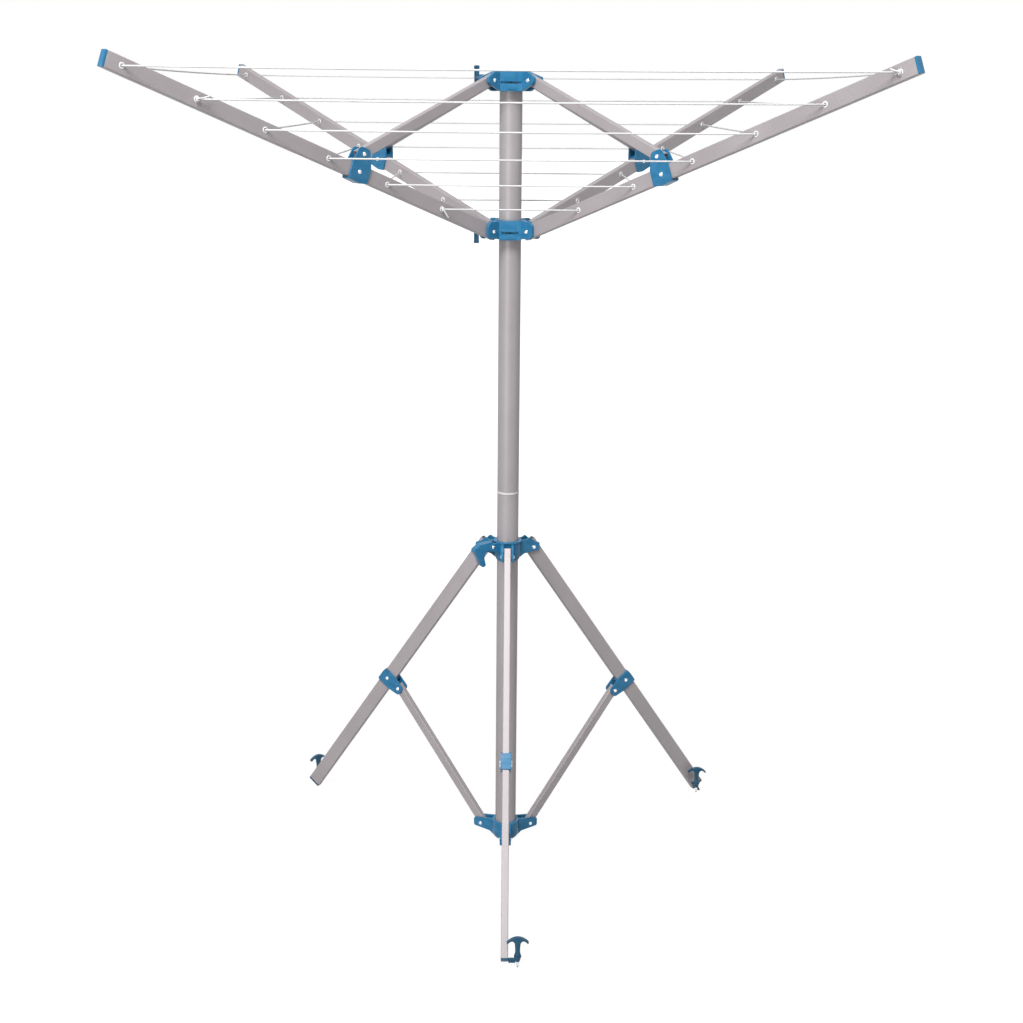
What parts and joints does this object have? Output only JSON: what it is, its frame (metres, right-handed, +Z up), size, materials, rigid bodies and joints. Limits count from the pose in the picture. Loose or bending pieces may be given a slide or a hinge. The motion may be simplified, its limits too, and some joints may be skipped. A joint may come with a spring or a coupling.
{
  "type": "rotary clothesline",
  "caption": "Free-standing rotary clothesline with a folding tripod, a two-piece mast that turns, and folding arms that carry rows of line.",
  "frame": {"origin": "on the ground under the middle of the mast, at the flat underside of the base hub", "axes": "+Z up along the mast; the front leg points along -Y and +X is to the right of someone facing it"},
  "size_m": [1.291, 1.291, 1.6645],
  "materials": {
    "tube": "drawn tube, matt anodised",
    "blue_plastic": "moulded, semi-gloss",
    "dark_plastic": "moulded, satin",
    "bush": "moulded, satin",
    "spigot": "drawn tube",
    "steel": "zinc plated",
    "line": "plastic coated line"
  },
  "bodies": {
    "lower_mast": {"lower_mast": "tube", "mast_bush": "bush", "base_hub": "blue_plastic", "stay_lower_pin_front": "steel", "stay_lower_pin_right": "steel", "stay_lower_pin_left": "steel"},
    "tripod_hub": {"tripod_hub": "blue_plastic", "lock_lever_pin": "steel"},
    "lock_lever": {"lock_lever": "blue_plastic"},
    "stay_front": {"stay_front": "tube"},
    "leg_front": {"leg_front": "tube", "leg_bracket_front": "blue_plastic", "foot_front": "dark_plastic", "stay_upper_pin_front": "steel"},
    "peg_front": {"peg_front": "dark_plastic"},
    "stay_right": {"stay_right": "tube"},
    "leg_right": {"leg_right": "tube", "leg_bracket_right": "blue_plastic", "foot_right": "dark_plastic", "stay_upper_pin_right": "steel"},
    "peg_right": {"peg_right": "dark_plastic"},
    "stay_left": {"stay_left": "tube"},
    "leg_left": {"leg_left": "tube", "leg_bracket_left": "blue_plastic", "foot_left": "dark_plastic", "stay_upper_pin_left": "steel"},
    "peg_left": {"peg_left": "dark_plastic"},
    "upper_mast": {"upper_mast": "tube", "mast_spigot": "spigot", "top_hub": "blue_plastic"},
    "top_hub_knob": {"top_hub_knob": "dark_plastic"},
    "lower_hub": {"lower_hub": "blue_plastic", "arm_pin_front_left": "steel", "arm_pin_front_right": "steel", "arm_pin_rear_right": "steel", "arm_pin_rear_left": "steel", "line_outer_rows": "line", "line_inner_loop": "line"},
    "lower_hub_knob": {"lower_hub_knob": "dark_plastic"},
    "arm_front_left": {"arm_front_left": "tube", "arm_cap_front_left": "blue_plastic", "arm_bracket_front_left": "blue_plastic", "strut_pin_front_left": "steel"},
    "strut_front_left": {"strut_front_left": "tube"},
    "arm_front_right": {"arm_front_right": "tube", "arm_cap_front_right": "blue_plastic", "arm_bracket_front_right": "blue_plastic", "strut_pin_front_right": "steel"},
    "strut_front_right": {"strut_front_right": "tube"},
    "arm_rear_right": {"arm_rear_right": "tube", "arm_cap_rear_right": "blue_plastic", "arm_bracket_rear_right": "blue_plastic", "strut_pin_rear_right": "steel"},
    "strut_rear_right": {"strut_rear_right": "tube"},
    "arm_rear_left": {"arm_rear_left": "tube", "arm_cap_rear_left": "blue_plastic", "arm_bracket_rear_left": "blue_plastic", "strut_pin_rear_left": "steel"},
    "strut_rear_left": {"strut_rear_left": "tube"}
  },
  "joints": [
    {"name": "tripod_fold", "type": "slide", "parent": "lower_mast", "child": "tripod_hub", "axis": [0, 0, 1], "range_m": [0, 0.13709]},
    {"name": "lock_lever_lift", "type": "hinge", "parent": "tripod_hub", "child": "lock_lever", "pos_m": [-0.03551, -0.0205, 0.6825], "axis": [-0.5, 0.866, 0], "range_deg": [0, 75]},
    {"name": "stay_hinge_front", "type": "hinge", "parent": "lower_mast", "child": "stay_front", "pos_m": [0, -0.058, 0.0235], "axis": [-1, 0, 0], "range_deg": [0, 41.96]},
    {"name": "leg_hinge_front", "type": "hinge", "parent": "stay_front", "child": "leg_front", "pos_m": [0, -0.27856, 0.29872], "axis": [1, 0, 0], "range_deg": [0, 75.36]},
    {"name": "peg_pull_front", "type": "slide", "parent": "leg_front", "child": "peg_front", "axis": [0, 0, 1], "range_m": [0, 0.03]},
    {"name": "stay_hinge_right", "type": "hinge", "parent": "lower_mast", "child": "stay_right", "pos_m": [0.05023, 0.029, 0.0235], "axis": [0.5, -0.866, 0], "range_deg": [0, 41.96]},
    {"name": "leg_hinge_right", "type": "hinge", "parent": "stay_right", "child": "leg_right", "pos_m": [0.24124, 0.13928, 0.29872], "axis": [-0.5, 0.866, 0], "range_deg": [0, 75.36]},
    {"name": "peg_pull_right", "type": "slide", "parent": "leg_right", "child": "peg_right", "axis": [0, 0, 1], "range_m": [0, 0.03]},
    {"name": "stay_hinge_left", "type": "hinge", "parent": "lower_mast", "child": "stay_left", "pos_m": [-0.05023, 0.029, 0.0235], "axis": [0.5, 0.866, 0], "range_deg": [0, 41.96]},
    {"name": "leg_hinge_left", "type": "hinge", "parent": "stay_left", "child": "leg_left", "pos_m": [-0.24124, 0.13928, 0.29872], "axis": [-0.5, -0.866, 0], "range_deg": [0, 75.36]},
    {"name": "peg_pull_left", "type": "slide", "parent": "leg_left", "child": "peg_left", "axis": [0, 0, 1], "range_m": [0, 0.03]},
    {"name": "head_spin", "type": "hinge", "parent": "lower_mast", "child": "upper_mast", "pos_m": [0, 0, 0.796], "axis": [0, 0, 1], "continuous": true},
    {"name": "top_knob_turn", "type": "hinge", "parent": "upper_mast", "child": "top_hub_knob", "pos_m": [-0.07, 0, 1.6303], "axis": [-1, 0, 0], "range_deg": [0, 270]},
    {"name": "head_fold", "type": "slide", "parent": "upper_mast", "child": "lower_hub", "axis": [0, 0, -1], "range_m": [0, 0.42405], "deforming": ["line_outer_rows", "line_inner_loop"]},
    {"name": "lower_knob_turn", "type": "hinge", "parent": "lower_hub", "child": "lower_hub_knob", "pos_m": [-0.07, 0, 1.3365], "axis": [-1, 0, 0], "range_deg": [0, 270]},
    {"name": "arm_hinge_front_left", "type": "hinge", "parent": "lower_hub", "child": "arm_front_left", "pos_m": [-0.04101, -0.04101, 1.3385], "axis": [-0.7071, 0.7071, 0], "range_deg": [0, 67.28]},
    {"name": "strut_hinge_front_left", "type": "hinge", "parent": "arm_front_left", "child": "strut_front_left", "pos_m": [-0.27159, -0.27159, 1.49457], "axis": [0.7071, -0.7071, 0], "range_deg": [0, 138.11]},
    {"name": "arm_hinge_front_right", "type": "hinge", "parent": "lower_hub", "child": "arm_front_right", "pos_m": [0.04101, -0.04101, 1.3385], "axis": [-0.7071, -0.7071, 0], "range_deg": [0, 67.28]},
    {"name": "strut_hinge_front_right", "type": "hinge", "parent": "arm_front_right", "child": "strut_front_right", "pos_m": [0.27159, -0.27159, 1.49457], "axis": [0.7071, 0.7071, 0], "range_deg": [0, 138.11]},
    {"name": "arm_hinge_rear_right", "type": "hinge", "parent": "lower_hub", "child": "arm_rear_right", "pos_m": [0.04101, 0.04101, 1.3385], "axis": [0.7071, -0.7071, 0], "range_deg": [0, 67.28]},
    {"name": "strut_hinge_rear_right", "type": "hinge", "parent": "arm_rear_right", "child": "strut_rear_right", "pos_m": [0.27159, 0.27159, 1.49457], "axis": [-0.7071, 0.7071, 0], "range_deg": [0, 138.11]},
    {"name": "arm_hinge_rear_left", "type": "hinge", "parent": "lower_hub", "child": "arm_rear_left", "pos_m": [-0.04101, 0.04101, 1.3385], "axis": [0.7071, 0.7071, 0], "range_deg": [0, 67.28]},
    {"name": "strut_hinge_rear_left", "type": "hinge", "parent": "arm_rear_left", "child": "strut_rear_left", "pos_m": [-0.27159, 0.27159, 1.49457], "axis": [-0.7071, -0.7071, 0], "range_deg": [0, 138.11]}
  ],
  "couplings": [
    {"joint": "stay_hinge_front", "follows": "tripod_fold", "rad_per_m": 5.342},
    {"joint": "leg_hinge_front", "follows": "tripod_fold", "rad_per_m": 9.5947},
    {"joint": "stay_hinge_right", "follows": "tripod_fold", "rad_per_m": 5.342},
    {"joint": "leg_hinge_right", "follows": "tripod_fold", "rad_per_m": 9.5947},
    {"joint": "stay_hinge_left", "follows": "tripod_fold", "rad_per_m": 5.342},
    {"joint": "leg_hinge_left", "follows": "tripod_fold", "rad_per_m": 9.5947},
    {"joint": "arm_hinge_front_left", "follows": "head_fold", "rad_per_m": 2.769},
    {"joint": "strut_hinge_front_left", "follows": "head_fold", "rad_per_m": 5.6842},
    {"joint": "arm_hinge_front_right", "follows": "head_fold", "rad_per_m": 2.769},
    {"joint": "strut_hinge_front_right", "follows": "head_fold", "rad_per_m": 5.6842},
    {"joint": "arm_hinge_rear_right", "follows": "head_fold", "rad_per_m": 2.769},
    {"joint": "strut_hinge_rear_right", "follows": "head_fold", "rad_per_m": 5.6842},
    {"joint": "arm_hinge_rear_left", "follows": "head_fold", "rad_per_m": 2.769},
    {"joint": "strut_hinge_rear_left", "follows": "head_fold", "rad_per_m": 5.6842}
  ]
}
